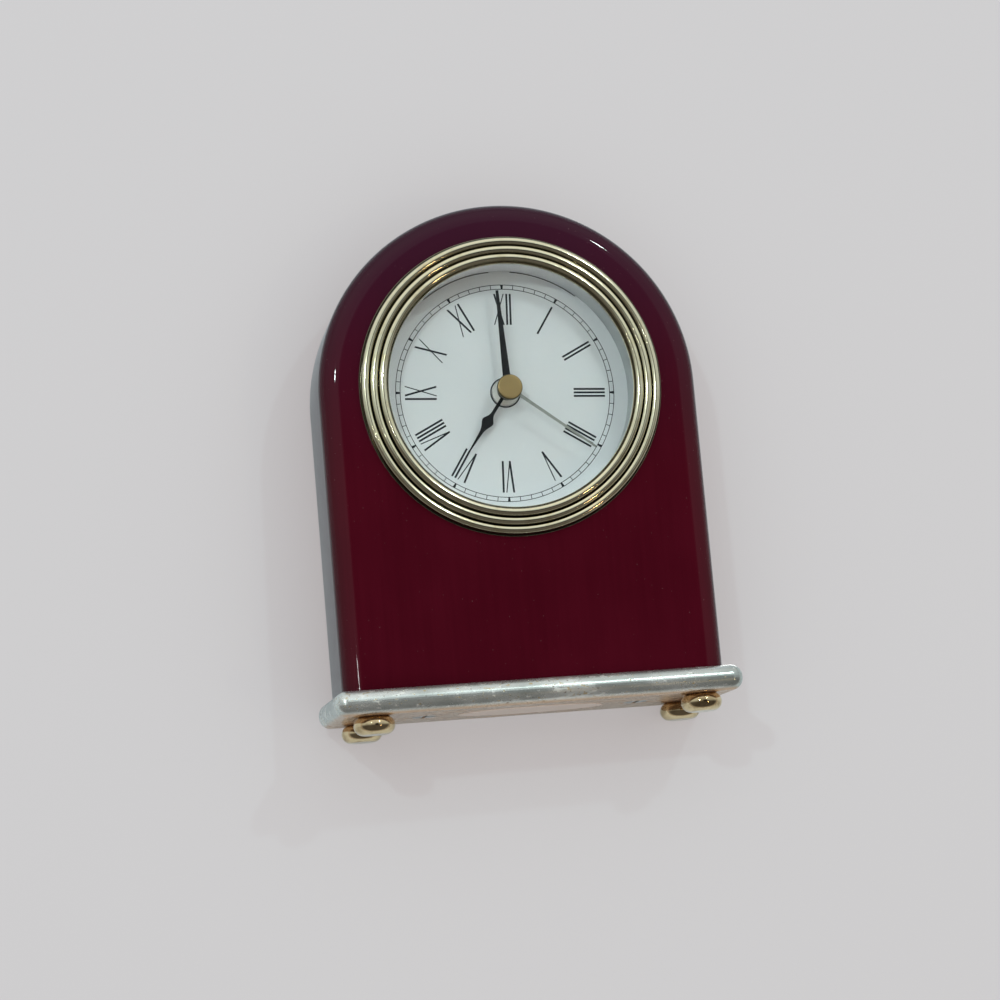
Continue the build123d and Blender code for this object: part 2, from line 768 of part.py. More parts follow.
# Setting arbor and its fluted knob on the back
knob_front = cup_end + part_clearance
knob_back = knob_front + knob_thick
with BuildPart() as setting_arbor:
    gear(setting_axis, setting_teeth, reverser_module, setting_phase, motion_layer)
    disc(setting_axis, pivot_diameter, plate_back - pivot_length, motion_layer)
    disc(setting_axis, setting_shaft, motion_layer, knob_back - knob_thick / 2)
save(setting_arbor, "setting_arbor")
with BuildPart() as setting_knob:
    with BuildSketch(at_depth(knob_back)):
        with Locations(setting_axis):
            Circle(knob_diameter / 2)
            with PolarLocations(knob_diameter / 2, knob_flute_count):
                Circle(knob_flute / 2, mode=Mode.SUBTRACT)
    extrude(amount=knob_thick)
    shaft_seat = setting_shaft + 2 * press_clearance
    disc(setting_axis, shaft_seat, knob_front, knob_back - knob_thick / 2, Mode.SUBTRACT)
save(setting_knob, "setting_knob")


def hand_hub(pipe, back):
    """Adds a hand's round hub to the open part, and bores it for its pipe."""
    disc(dial_axis, pipe + 2 * hand_rim, back - hand_thick, back)
    disc(dial_axis, pipe + 2 * press_clearance, back - hand_thick, back, Mode.SUBTRACT)


def tapered_hand(length, width, tip):
    """Draws a straight hand that narrows to its tip, in the open sketch."""
    Polygon((-width / 2, 0), (width / 2, 0), (tip / 2, length), (-tip / 2, length))


# Hour hand: a slim stem, a spade and a long point
with BuildPart() as hour_hand:
    with BuildSketch(at_depth(hour_hand_back, hour_hand_angle)):
        with BuildLine():
            stem = hour_hand_stem / 2
            taper = (hour_hand_tip / 2 - stem, hour_hand_length - hour_hand_bulge_end)
            side = Line((stem, 0), (stem, hour_hand_bulge_start))
            middle = (hour_hand_bulge / 2, hour_hand_bulge_middle)
            shoulder = Spline(side @ 1, middle, (stem, hour_hand_bulge_end), tangents=[(0, 1), taper])
            Polyline(shoulder @ 1, (hour_hand_tip / 2, hour_hand_length), (0, hour_hand_length))
            mirror(about=Plane.YZ)
            Line((-stem, 0), (stem, 0))
        make_face()
    extrude(amount=hand_thick)
    hand_hub(hour_pipe, hour_hand_back)
save(hour_hand, "hour_hand")

# Minute hand
with BuildPart() as minute_hand:
    with BuildSketch(at_depth(minute_hand_back, minute_hand_angle)):
        tapered_hand(minute_hand_length, minute_hand_width, minute_hand_tip)
    extrude(amount=hand_thick)
    hand_hub(cannon_diameter, minute_hand_back)
save(minute_hand, "minute_hand")

# Second hand and the brass cap over it
with BuildPart() as second_hand:
    with BuildSketch(at_depth(second_hand_back, second_hand_angle)):
        tapered_hand(second_hand_length, second_hand_width, second_hand_tip)
    extrude(amount=hand_thick)
    hand_hub(seconds_arbor, second_hand_back)
save(second_hand, "second_hand")
cap_back = second_hand_back - hand_thick
with BuildPart() as second_hand_cap:
    disc(dial_axis, cap_diameter, cap_back - cap_thick, cap_back)
    fillet(second_hand_cap.edges().group_by(Axis.Y)[0], cap_round)
    disc(dial_axis, seconds_arbor + 2 * press_clearance, seconds_arbor_front, cap_back, Mode.SUBTRACT)
save(second_hand_cap, "second_hand_cap")

# Stator of the stepping motor: a ring round the magnet, a band and two legs to the coil
band_left = leg_places[0].X - stator_leg / 2
band_right = leg_places[1].X + stator_leg / 2
leg_top = coil_middle + core_width / 2
with BuildPart() as stator:
    with BuildSketch(at_depth(stator_back)):
        with Locations(((band_left + band_right) / 2, band_middle)):
            Rectangle(band_right - band_left, stator_band)
        for place in leg_places:
            with Locations((place.X, (band_middle + leg_top) / 2)):
                Rectangle(stator_leg, leg_top - band_middle)
        with Locations(rotor_axis):
            Circle(lobe_diameter / 2)
        with Locations((rotor_axis.X, (rotor_axis.Y + band_middle) / 2)):
            Rectangle(lobe_diameter, band_middle - rotor_axis.Y)
        with Locations(rotor_axis):
            Circle(magnet_diameter / 2 + stator_air_gap, mode=Mode.SUBTRACT)
    extrude(amount=stator_thick)
save(stator, "stator")

# Coil: core, bobbin and winding
core_length = band_right - band_left
with BuildPart() as coil_core:
    block(coil_centre, core_length, core_width, stator_back, core_back)
save(coil_core, "coil_core")
coil_turned = Plane(
    origin=at_depth((stator_back + core_back) / 2).from_local_coords(coil_centre),
    x_dir=(0, 1, 0),
    z_dir=at_depth(0).x_dir,
)
with BuildPart() as coil_bobbin:
    with BuildSketch(coil_turned):
        Circle(bobbin_barrel / 2)
    extrude(amount=coil_length / 2, both=True)
    for side in (-1, 1):
        with BuildSketch(coil_turned.offset(side * (coil_length - bobbin_flange) / 2)):
            Circle(coil_diameter / 2)
        extrude(amount=bobbin_flange / 2, both=True)
    block(
        coil_centre,
        coil_length,
        core_width + 2 * fit_clearance,
        stator_back - fit_clearance,
        core_back + fit_clearance,
        Mode.SUBTRACT,
    )
save(coil_bobbin, "coil_bobbin")
with BuildPart() as coil_winding:
    with BuildSketch(coil_turned):
        Circle(coil_diameter / 2 - bobbin_rim)
        Circle(bobbin_barrel / 2, mode=Mode.SUBTRACT)
    extrude(amount=coil_length / 2 - bobbin_flange, both=True)
save(coil_winding, "coil_winding")

# Circuit board, crystal can and sealed chip
board_back = board_front + board_thick
chip_place = board_middle - Vector(0, board_height / 4)
crystal_place = board_middle + Vector(0, board_height / 4)
with BuildPart() as circuit_board:
    block(board_middle, board_width, board_height, board_front, board_back)
save(circuit_board, "circuit_board")
with BuildPart() as quartz_crystal:
    crystal_depth = board_back + crystal_diameter / 2
    can_plane = Plane(
        origin=at_depth(crystal_depth).from_local_coords(crystal_place),
        x_dir=(0, 1, 0),
        z_dir=at_depth(0).x_dir,
    )
    with BuildSketch(can_plane):
        Circle(crystal_diameter / 2)
    extrude(amount=crystal_length / 2, both=True)
save(quartz_crystal, "quartz_crystal")
with BuildPart() as chip:
    disc(chip_place, chip_diameter, board_back, board_back + chip_rise)
    fillet(chip.edges().group_by(Axis.Y)[-1], chip_rise / 2)
save(chip, "chip")

# Cradle of the battery
with BuildPart() as battery_cradle:
    block(cell_axis, cradle_outer_length, cradle_outer_height, plate_back, cup_floor)
    block(cell_axis, cradle_inner_length, cradle_inner_height, cradle_floor, cup_floor, Mode.SUBTRACT)
save(battery_cradle, "battery_cradle")

# Battery: a plain cell, with its nub to the right
cell_centre = at_depth(cell_depth).from_local_coords(cell_axis + Vector(contact_reach / 2, 0))
cell_plane = Plane(origin=cell_centre, x_dir=(0, 1, 0), z_dir=at_depth(0).x_dir)
cell_can = cell_length - cell_nub_length
with BuildPart() as battery:
    with BuildSketch(cell_plane.offset(-cell_length / 2)):
        Circle(cell_diameter / 2)
    extrude(amount=cell_can)
    fillet(battery.edges().filter_by(GeomType.CIRCLE), cell_edge_round)
    with BuildSketch(cell_plane.offset(cell_length / 2)):
        Circle(cell_nub_diameter / 2)
    extrude(amount=-cell_nub_length)
save(battery, "battery")

# Battery contacts: a flat plate at the nub and a sprung leaf at the base
contact_end = cradle_inner_length / 2
with BuildPart() as positive_contact:
    middle = cell_axis + Vector(contact_end - contact_thick / 2, 0)
    block(middle, contact_thick, contact_width, cradle_floor, cell_depth + cell_diameter / 2)
save(positive_contact, "positive_contact")
with BuildPart() as negative_contact:
    with BuildSketch(at_depth(cell_depth + contact_width / 2)):
        with Locations(cell_axis - Vector(contact_end, 0)):
            Rectangle(contact_thick, cradle_inner_height, align=(Align.MIN, Align.CENTER))
            Polygon(
                (contact_thick, -contact_width / 2),
                (contact_thick + contact_reach - press_clearance, 0),
                (contact_thick, contact_width / 2),
            )
    extrude(amount=contact_width)
save(negative_contact, "negative_contact")

# Battery door, with finger ridges
with BuildPart() as battery_door:
    block(
        cell_axis,
        door_length - 2 * fit_clearance,
        door_height - 2 * fit_clearance,
        door_front,
        cup_end,
    )
    block(
        cell_axis,
        cradle_inner_length - 2 * part_clearance,
        cradle_inner_height - 2 * part_clearance,
        cup_floor,
        door_front,
    )
    with BuildSketch(at_depth(cup_end + door_rib_rise)):
        with Locations(cell_axis):
            with GridLocations(door_rib_pitch, 0, door_rib_count, 1):
                SlotOverall(door_rib_length, door_rib_width, rotation=90)
    extrude(amount=door_rib_rise)
save(battery_door, "battery_door")
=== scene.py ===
# %% [markdown]
# # A wooden desk clock, from CAD solids to a finished picture
# The clock is an arch of lacquered wood on a metal base, with a ribbed gold bezel round a Roman
# dial. Its solids come from CAD and are already the right size, so this lesson spends its time on
# what CAD can't show: print, lacquer, gilt, worn plating, glass and light.

import json
from math import asin, cos, pi, radians, sin

import bmesh
import bpy
from mathutils import Matrix, Vector


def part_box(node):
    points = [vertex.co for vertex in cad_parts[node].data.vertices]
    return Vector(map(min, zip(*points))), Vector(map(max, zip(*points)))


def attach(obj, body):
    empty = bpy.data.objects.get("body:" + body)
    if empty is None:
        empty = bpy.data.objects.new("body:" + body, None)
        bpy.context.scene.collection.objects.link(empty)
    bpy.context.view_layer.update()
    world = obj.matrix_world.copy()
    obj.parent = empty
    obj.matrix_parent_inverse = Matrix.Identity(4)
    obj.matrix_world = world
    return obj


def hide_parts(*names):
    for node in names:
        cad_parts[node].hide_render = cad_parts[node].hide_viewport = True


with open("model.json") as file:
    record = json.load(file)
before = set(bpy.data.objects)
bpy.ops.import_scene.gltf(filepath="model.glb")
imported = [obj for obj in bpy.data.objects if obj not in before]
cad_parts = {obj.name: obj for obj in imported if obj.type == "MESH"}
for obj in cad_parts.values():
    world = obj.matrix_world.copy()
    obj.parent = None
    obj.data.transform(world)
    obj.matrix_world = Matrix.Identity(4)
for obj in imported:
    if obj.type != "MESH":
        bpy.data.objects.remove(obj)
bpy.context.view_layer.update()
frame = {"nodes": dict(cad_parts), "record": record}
nodes = frame["nodes"]


def in_mm(vector):
    """Gives a vector's values in millimetres, rounded to be read."""
    return [round(1000 * value, 2) for value in vector]


# %% [markdown]
# ## Sums with sockets
# A shader is a net of small nodes, and wiring them one by one hides the idea behind them. This
# class wraps one output socket, so that `1 - mask` or `wear * 0.3` adds the Math nodes by itself.
# Everything that isn't arithmetic comes from one method, `node`.


# %% Socket arithmetic
class Wire:
    """One output of a material's nodes, which can be used in sums like a number."""

    def __init__(self, tree, socket=None):
        self.tree = tree
        self.socket = socket

    def node(self, kind, settings=None, inputs=None, output=0):
        """Adds any node: its settings first, then the values or links of its sockets."""
        made = self.tree.nodes.new("ShaderNode" + kind)
        for name, value in (settings or {}).items():
            setattr(made, name, value)
        for name, value in (inputs or {}).items():
            if isinstance(value, Wire):
                self.tree.links.new(value.socket, made.inputs[name])
            else:
                made.inputs[name].default_value = value
        return Wire(self.tree, made.outputs[output])

    def math(self, operation, first, second):
        return self.node("Math", {"operation": operation}, {0: first, 1: second})

    def __add__(self, other):
        return self.math("ADD", self, other)

    def __sub__(self, other):
        return self.math("SUBTRACT", self, other)

    def __rsub__(self, other):
        return self.math("SUBTRACT", other, self)

    def __mul__(self, other):
        return self.math("MULTIPLY", self, other)

    def __pow__(self, other):
        return self.math("POWER", self, other)

    __radd__ = __add__
    __rmul__ = __mul__

    def between(self, low, high):
        """Rises smoothly from 0 at one value to 1 at another."""
        limits = {"Value": self, "From Min": low, "From Max": high}
        return self.node("MapRange", {"interpolation_type": "SMOOTHSTEP"}, limits)

    def mix(self, dark, light):
        """Goes from one colour to another as this value goes from 0 to 1."""
        colours = {0: self, 6: dark, 7: light}
        return self.node("Mix", {"data_type": "RGBA"}, colours, output=2)

    def axes(self):
        """Splits a vector into its three values."""
        apart = self.node("SeparateXYZ", inputs={"Vector": self}).socket.node
        return [Wire(self.tree, out) for out in apart.outputs]

    def noise(self, size, detail=2.0, stretch=(1, 1, 1)):
        """Cloudy noise with blobs of this size in millimetres, drawn out along stretched axes."""
        scale = [1 / (size * along) for along in stretch]
        spread = self.node("Mapping", inputs={"Vector": self, "Scale": scale})
        return self.node("TexNoise", inputs={"Vector": spread, "Scale": 1.0, "Detail": detail})

    def bump(self, strength, depth):
        """Turns a height into a normal; the depth is in millimetres."""
        height = {"Height": self, "Strength": strength, "Distance": depth / 1000}
        return self.node("Bump", inputs=height)


def colour(red, green, blue):
    """Turns a screen's colour, from 0 to 255, into the linear light that shaders use."""
    shares = [part / 255 for part in (red, green, blue)]
    return (*[s / 12.92 if s <= 0.04045 else ((s + 0.055) / 1.055) ** 2.4 for s in shares], 1)


finishes = {}


def start_finish(slot):
    """Starts a slot's material, and gives its shader and its coordinates in millimetres."""
    material = bpy.data.materials.new(slot)
    material.use_nodes = True
    finishes[slot] = material
    wire = Wire(material.node_tree)
    place = wire.node("TexCoord", output="Object")
    metres_to_mm = {"Vector": place, "Scale": (1000, 1000, 1000)}
    return material.node_tree.nodes["Principled BSDF"], wire.node("Mapping", inputs=metres_to_mm)


def feed(shader, **sockets):
    """Sets a shader's sockets: a number or colour directly, a wire as a link."""
    for name, value in sockets.items():
        socket = shader.inputs[name.replace("_", " ").title().replace("Ior", "IOR")]
        if isinstance(value, Wire):
            value.tree.links.new(value.socket, socket)
        else:
            socket.default_value = value


print("a mid grey on screen is", round(colour(128, 128, 128)[0], 3), "in linear light")

# %% [markdown]
# ## The lacquered case
# The case is stained burgundy and sprayed with clear lacquer until it shines like glass. The stain
# could be one flat red, but wood takes it up in faint upright streaks. The shine is the shader's
# own coat, because a coat mirrors white light over a coloured base, as lacquer does. Dust and
# hairline rubs break it up a little, as on a clock that has been handled. Towards the arch the
# colour gets darker and bluer between two heights in millimetres: painted shade and a painted
# bluish reflection, which the wood itself doesn't have.

# %% Lacquer
# Painted shade and painted bluish reflection: the heights in millimetres where it starts and where
# it is full.
painted_top_shade_from = 60
painted_top_shade_full_at = 140
lacquer, place = start_finish("lacquered_wood")
streaks = place.noise(1.1, 4, stretch=(1, 1, 26))
clouds = place.noise(26, 2)
dust = place.noise(0.42, 0).between(0.85, 0.88)
rubs = place.noise(0.5, 3, stretch=(14, 1, 2)).between(0.62, 0.8)
glance = place.node("LayerWeight", inputs={"Blend": 0.5}, output="Facing")
height = place.axes()[2]
uptake = (streaks * 0.35 + clouds * 0.65).between(0.3, 0.7)
red = uptake.mix(colour(61, 7, 20), colour(68, 10, 24))
# Painted shade and painted bluish reflection: darker and bluer towards the arch.
stain_and_painted_top_shade = height.between(painted_top_shade_from, painted_top_shade_full_at).mix(red, colour(52, 17, 36))
feed(
    lacquer,
    base_color=(dust * 0.4).mix(stain_and_painted_top_shade, colour(150, 120, 122)),
    roughness=0.5 + clouds * 0.1,
    specular_ior_level=0.0,
    coat_weight=0.42 + glance.between(0.35, 0.9) * 0.5 - dust * 0.3,
    coat_roughness=0.03,
    coat_ior=1.45,
    normal=(streaks * 0.3 + rubs).bump(0.03, 0.02),
)
print("lacquer nodes:", len(finishes["lacquered_wood"].node_tree.nodes))

# %% [markdown]
# ## The worn base plate
# The base is plated metal that has lost its polish: silver-grey with pale scuffs, which also stand
# in for small glints as painted highlights, a few gold and brown flecks where the plating has gone,
# and a warmer underside. Flecks and scuffs are noise with a hard threshold, drawn out along the
# plate as a cloth would rub it. The height of a point decides how much of the warm underside it
# shows, so the change follows the rounded lower edge.

# %% Worn plating
plate_low = 1000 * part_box("base_plate")[0].z
plating, place = start_finish("base_metal")
height = place.axes()[2]
lines = place.noise(0.12, 2, stretch=(40, 1, 1))
patches = place.noise(7, 3, stretch=(2.2, 1, 1))
flecks = place.noise(0.55, 3, stretch=(2.4, 1, 1)) + patches * 0.35
gold_worn = flecks.between(0.8, 0.88)
brown_worn = (place.noise(0.8, 2, stretch=(1.6, 1, 1)) + patches * 0.3).between(0.82, 0.9)
# Pale scuffs, and painted highlights standing in for small glints.
scuffs_and_painted_glints = (place.noise(0.9, 4, stretch=(2.5, 1, 1)) + patches * 0.5).between(0.84, 0.93)
under = 1 - height.between(plate_low + 0.15, plate_low + 1.0)
silver = patches.between(0.3, 0.7).mix(colour(178, 185, 180), colour(228, 232, 228))
worn = (gold_worn * 0.8).mix(silver, colour(196, 172, 118))
worn = (brown_worn * 0.85).mix(worn, colour(104, 74, 48))
worn = (scuffs_and_painted_glints * 0.8).mix(worn, colour(244, 246, 240))
feed(
    plating,
    base_color=under.mix(worn, colour(198, 166, 137)),
    metallic=0.82,
    roughness=0.16 + patches * 0.2 + gold_worn * 0.15 + scuffs_and_painted_glints * 0.15,
    normal=((lines * 0.5 - gold_worn - brown_worn) * (1 - under)).bump(0.25, 0.03),
)
print("plating nodes:", len(finishes["base_metal"].node_tree.nodes))

# %% [markdown]
# ## Gilt and brass
# The bezel, the bun feet, the cap and the second hand are all gold-coloured metal, but none is the
# same: the bezel is pale champagne, the feet are deeper brass and the cap is brushed. One function
# makes them all from a colour, a roughness and a grain, with faint tarnish in soft clouds. A mask
# can add painted shade, a dark colour where shade falls: in the valleys between the bezel's ribs,
# and over the cap's rounded edge.


# %% Gilt
def gilt(slot, bright, tarnished, roughness, grain, painted_shade=None):
    """A gold-coloured metal with soft tarnish, fine polishing marks and, if given, painted shade.
    """
    shader, place = start_finish(slot)
    tarnish = place.noise(3.5, 3).between(0.45, 0.8)
    marks = place.noise(0.15, 2, stretch=(1, 1, 8))
    gold = tarnish.mix(bright, tarnished)
    # Painted shade: the masked parts take a dark colour.
    if painted_shade:
        gold = painted_shade(place).mix(gold, colour(76, 68, 44))
    feed(
        shader,
        base_color=gold,
        metallic=1.0,
        roughness=roughness + tarnish * 0.05 + marks * grain,
        normal=marks.bump(grain, 0.004),
    )


# %% The gold-coloured pieces
bezel_middle = 500 * (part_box("bezel")[0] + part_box("bezel")[1])
rib_pitch = 2.25
outer_valley = 39.2
cap_front = 1000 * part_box("second_hand_cap")[0].y


def painted_shade_between_ribs(place):
    """Painted shade: is 1 in the valleys between the bezel's ribs and 0 on their crests."""
    x, _, z = place.axes()
    radius = ((x - bezel_middle.x) ** 2 + (z - bezel_middle.z) ** 2) ** 0.5
    ribs = (radius - outer_valley) * (2 * pi / rib_pitch)
    return place.node("Math", {"operation": "COSINE"}, {0: ribs}).between(0.45, 1.0)


def painted_shade_on_cap_edge(place):
    """Painted shade: is 0 on the cap's face and rises to 1 over its rounded edge."""
    depth = place.axes()[1]
    return depth.between(cap_front + 0.02, cap_front + 0.2)


# The bezel gets painted shade in its rib valleys, and the brushed cap on its rounded edge.
gilt("bezel_gold", colour(234, 226, 195), colour(216, 205, 168), 0.09, 0.05, painted_shade_between_ribs)
gilt("polished_brass", colour(220, 197, 157), colour(158, 133, 95), 0.05, 0.03)
gilt("pale_hand", colour(152, 154, 147), colour(132, 133, 126), 0.3, 0.1)
gilt("brushed_cap", colour(166, 141, 97), colour(142, 117, 75), 0.26, 0.12, painted_shade_on_cap_edge)
print("gilt finishes:", [slot for slot in finishes if slot not in ("lacquered_wood", "base_metal")])

# %% [markdown]
# ## Glass that lets the lamps in
# The lens is a flat clear disc. A renderer treats glass as a shadow caster, so a dial behind plain
# glass would go dark. A Mix Shader lets shadow rays pass straight through and keeps the glass for
# every ray that looks at it.

# %% Lens
glass, place = start_finish("clear_glass")
smears = place.noise(9, 3).between(0.5, 0.8)
feed(
    glass,
    base_color=(0.97, 0.99, 0.99, 1),
    transmission_weight=1.0,
    roughness=smears * 0.02,
    ior=1.45,
)
tree = finishes["clear_glass"].node_tree
wire = Wire(tree)
shaded = wire.node("LightPath", output="Is Shadow Ray")
open_way = wire.node("BsdfTransparent")
pane = wire.node("MixShader", inputs={0: shaded, 1: Wire(tree, glass.outputs[0]), 2: open_way})
tree.links.new(pane.socket, tree.nodes["Material Output"].inputs["Surface"])

# %% [markdown]
# ## Dial, ring and hands
# The dial is white enamel with a cool cast and the odd speck. Round it stands a pale satin ring,
# with painted shade on its right side. The hands are black paint on thin metal. All three are plain
# shaders with a little noise, because a perfectly even white or black looks like a drawing.

# %% White enamel
enamel, place = start_finish("white_dial")
specks = place.noise(0.5, 0).between(0.83, 0.86)
tone = place.noise(18, 2)
white = tone.mix(colour(219, 221, 221), colour(226, 228, 228))
feed(
    enamel,
    base_color=(specks * 0.35).mix(white, colour(120, 126, 130)),
    roughness=0.38 + tone * 0.1,
    specular_ior_level=0.35,
    normal=place.noise(0.3, 3).bump(0.03, 0.02),
)
print("enamel nodes:", len(finishes["white_dial"].node_tree.nodes))

# %% Pale ring
# Painted shade: millimetres right of the middle where the ring starts to darken and where it is
# darkest.
painted_ring_shade_from = 8
painted_ring_shade_full_at = 32
ring, place = start_finish("pale_ring")
x, y, _ = place.axes()
dial_front = 1000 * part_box("dial")[0].y
dial_middle = (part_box("dial")[0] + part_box("dial")[1]) / 2
turned = y.noise(0.25, 2)
satin = turned.mix(colour(228, 229, 230), colour(238, 238, 239))
# Painted shade: the ring gets darker towards the right.
satin = x.between(painted_ring_shade_from, painted_ring_shade_full_at).mix(satin, colour(168, 174, 173))
feed(
    ring,
    base_color=satin,
    roughness=0.42 + turned * 0.1,
    metallic=0.15,
    normal=turned.bump(0.05, 0.02),
)
print("dial front at y =", round(dial_front, 2), "mm")


# %% Black hands and print
def paint(slot, shade, edge, roughness):
    """Satin paint with a fine texture and a slightly worn sheen."""
    shader, place = start_finish(slot)
    sheen = place.noise(1.4, 3)
    feed(
        shader,
        base_color=sheen.mix(shade, edge),
        roughness=roughness + sheen * 0.12,
        specular_ior_level=0.2,
        normal=place.noise(0.12, 2).bump(0.05, 0.01),
    )


paint("black_hand", colour(15, 15, 17), colour(25, 25, 28), 0.4)
paint("dial_ink", colour(24, 27, 32), colour(36, 40, 46), 0.5)
paint("label_paper", colour(250, 241, 232), colour(240, 229, 218), 0.7)
print("painted or printed:", list(finishes)[-3:])

# %% [markdown]
# ## Inside the insert
# The movement only shows when the insert is pulled out, but then every piece of it does. Moulded
# plastics share one function: a fine grain in the bump, cloudy shine and a little colour drift.


# %% Moulded plastics
def moulded(slot, shade, drift, roughness, grain):
    """Moulded plastic or rubber with a fine grain of this size in millimetres."""
    shader, place = start_finish(slot)
    clouds = place.noise(6, 2)
    texture = place.noise(grain, 2)
    feed(
        shader,
        base_color=clouds.mix(shade, drift),
        roughness=roughness + texture * 0.12,
        specular_ior_level=0.45,
        normal=texture.bump(0.12, 0.03),
    )


moulded("black_plastic", colour(30, 30, 32), colour(40, 40, 43), 0.42, 0.22)
moulded("white_plastic", colour(224, 222, 214), colour(234, 232, 226), 0.4, 0.3)
moulded("gear_plastic", colour(222, 214, 190), colour(232, 226, 206), 0.32, 0.2)
moulded("black_rubber", colour(27, 27, 27), colour(38, 37, 37), 0.72, 0.15)
print("moulded:", list(finishes)[-4:])

# %% [markdown]
# The screws, the contacts and the motor's iron are bare rolled metal, and the magnet is darker and
# rougher. Scratches could be drawn one by one, but long thin noise in the bump gives the same
# grain.


# %% Plain metals
def plain_metal(slot, shade, drift, roughness):
    """Bare metal with a rolled grain."""
    shader, place = start_finish(slot)
    rolled = place.noise(0.15, 3, stretch=(10, 10, 1))
    feed(
        shader,
        base_color=place.noise(2.5, 2).mix(shade, drift),
        metallic=1.0,
        roughness=roughness + rolled * 0.15,
        normal=rolled.bump(0.1, 0.01),
    )


plain_metal("steel", colour(186, 188, 190), colour(206, 207, 208), 0.24)
plain_metal("magnet", colour(70, 70, 74), colour(92, 92, 96), 0.45)
print("plain metals:", list(finishes)[-2:])

# %% [markdown]
# The coil is many turns of fine copper wire. Each turn could be a curve of its own, but a sine
# along the coil gives the same ridges in the bump, and in the colour a painted shade and highlight
# on each turn.

# %% Copper winding
wire_pitch = 0.22
copper, place = start_finish("copper_wire")
along = place.axes()[0]
turns = place.node("Math", {"operation": "SINE"}, {0: along * (2 * pi / wire_pitch)})
lay = place.noise(1.2, 2)
# Painted shade and highlight along the turns, mixed with a random lay.
ridges_and_painted_shade = (turns * 0.3 + lay).between(0.2, 0.9)
feed(
    copper,
    base_color=ridges_and_painted_shade.mix(colour(136, 66, 34), colour(202, 122, 74)),
    metallic=0.9,
    roughness=0.28 + lay * 0.1,
    normal=turns.bump(0.6, 0.06),
)
print("copper nodes:", len(finishes["copper_wire"].node_tree.nodes))

# %% [markdown]
# The circuit board is green solder mask over thin tracks. Its front faces along the depth, so a
# brick pattern is turned upright first, and the joints between the bricks are the tracks.

# %% Circuit board
board, place = start_finish("green_board")
upright = {"Vector": place, "Rotation": (pi / 2, 0, 0), "Scale": (0.3, 0.3, 0.3)}
bricks = {"Vector": place.node("Mapping", inputs=upright), "Mortar Size": 0.03}
tracks = place.node("TexBrick", inputs=bricks, output="Fac")
weave = place.noise(0.3, 2)
feed(
    board,
    base_color=(tracks * 0.6 + weave * 0.2).mix(colour(18, 74, 42), colour(58, 124, 70)),
    roughness=0.3 + weave * 0.15,
    normal=tracks.bump(0.2, 0.03),
)
print("board nodes:", len(finishes["green_board"].node_tree.nodes))

# %% [markdown]
# The cell has a dark wrap with a copper-coloured band, and bare metal at one end. The place along
# the cell decides which of the three a point belongs to.

# %% Battery wrap
band_start = 6.4
wrap_end = 14.6
fade = 0.1
wrap, place = start_finish("cell_wrap")
along = place.axes()[0]
bare = along.between(wrap_end, wrap_end + fade)
band = along.between(band_start, band_start + fade) * (1 - bare)
creases = place.noise(1.5, 3)
printed = band.mix(colour(52, 54, 60), colour(186, 134, 70))
feed(
    wrap,
    base_color=bare.mix(printed, colour(190, 190, 192)),
    metallic=0.35 + bare * 0.6,
    roughness=0.3 + creases * 0.15,
    normal=creases.bump(0.05, 0.05),
)
print("finishes:", len(finishes))

# %% [markdown]
# ## Putting the finishes on
# The record says which slot each solid takes its finish from, so a loop dresses all of them. The
# cap shares the feet's slot, but it is brushed, so it gets its own.


# %% Dress the solids
def dress(name, slot):
    """Gives a solid its finish."""
    nodes[name].data.materials.clear()
    nodes[name].data.materials.append(finishes[slot])


for subpart in frame["record"]["subparts"]:
    dress(subpart["node"], subpart["material_slot"])
dress("second_hand_cap", "brushed_cap")

# %% [markdown]
# ## The case's smooth skin
# The case was shaped with a router that ran round the arch with a rounding bit. The sweep does the
# same: a section with both roundings goes up the left side, is spun over the arch and comes down
# on the right. A narrow flat strip beside each rounding keeps the shine of the flat faces even.

# %% Settle a shape
weld = 1e-7
sharp_edge = radians(40)


def new_piece(shape, name, material):
    """Makes a piece of a shape, in one finish."""
    mesh = bpy.data.meshes.new(name)
    shape.to_mesh(mesh)
    shape.free()
    mesh.materials.append(material)
    piece = bpy.data.objects.new(name, mesh)
    bpy.context.scene.collection.objects.link(piece)
    print(name, "has", len(mesh.polygons), "faces")
    return piece


def settle(shape, name, slot, body, *solids):
    """Closes a shape's seams, shades it smoothly and puts it in place of its solids."""
    bmesh.ops.remove_doubles(shape, verts=shape.verts, dist=weld)
    bmesh.ops.recalc_face_normals(shape, faces=shape.faces)
    for face in shape.faces:
        face.smooth = True
    piece = new_piece(shape, name, finishes[slot])
    piece.data.set_sharp_from_angle(angle=sharp_edge)
    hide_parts(*solids)
    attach(piece, body)


def only_verts(made):
    """Picks the points out of what an operator made."""
    return [part for part in made if isinstance(part, bmesh.types.BMVert)]


# %% Draw the case's section
case_low, case_high = (1000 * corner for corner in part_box("case_block"))
half_width = (case_high.x - case_low.x) / 2
arch_middle = case_high.z - half_width
front_round = 5.0
back_round = 2.0
strip = 0.4
rounding_steps = 14
skin = bmesh.new()


def beside_wall(inset, depth):
    """A point of the section, in millimetres in from the left wall and along the depth."""
    return Vector((case_low.x + inset, depth, case_low.z)) / 1000


last = skin.verts.new(beside_wall(front_round + strip, case_low.y))
front = ((front_round, case_low.y), (front_round, case_low.y + front_round))
back = ((0, case_high.y - back_round), (back_round, case_high.y - back_round))
for start, middle in (front, back):
    corner = skin.verts.new(beside_wall(*start))
    skin.edges.new((last, corner))
    made = bmesh.ops.spin(
        skin,
        geom=[corner],
        cent=beside_wall(*middle),
        axis=(0, 0, 1),
        angle=-pi / 2,
        steps=rounding_steps,
    )
    last = only_verts(made["geom_last"])[0]
skin.edges.new((last, skin.verts.new(beside_wall(back_round + strip, case_high.y))))
print("case section:", len(skin.verts), "points")

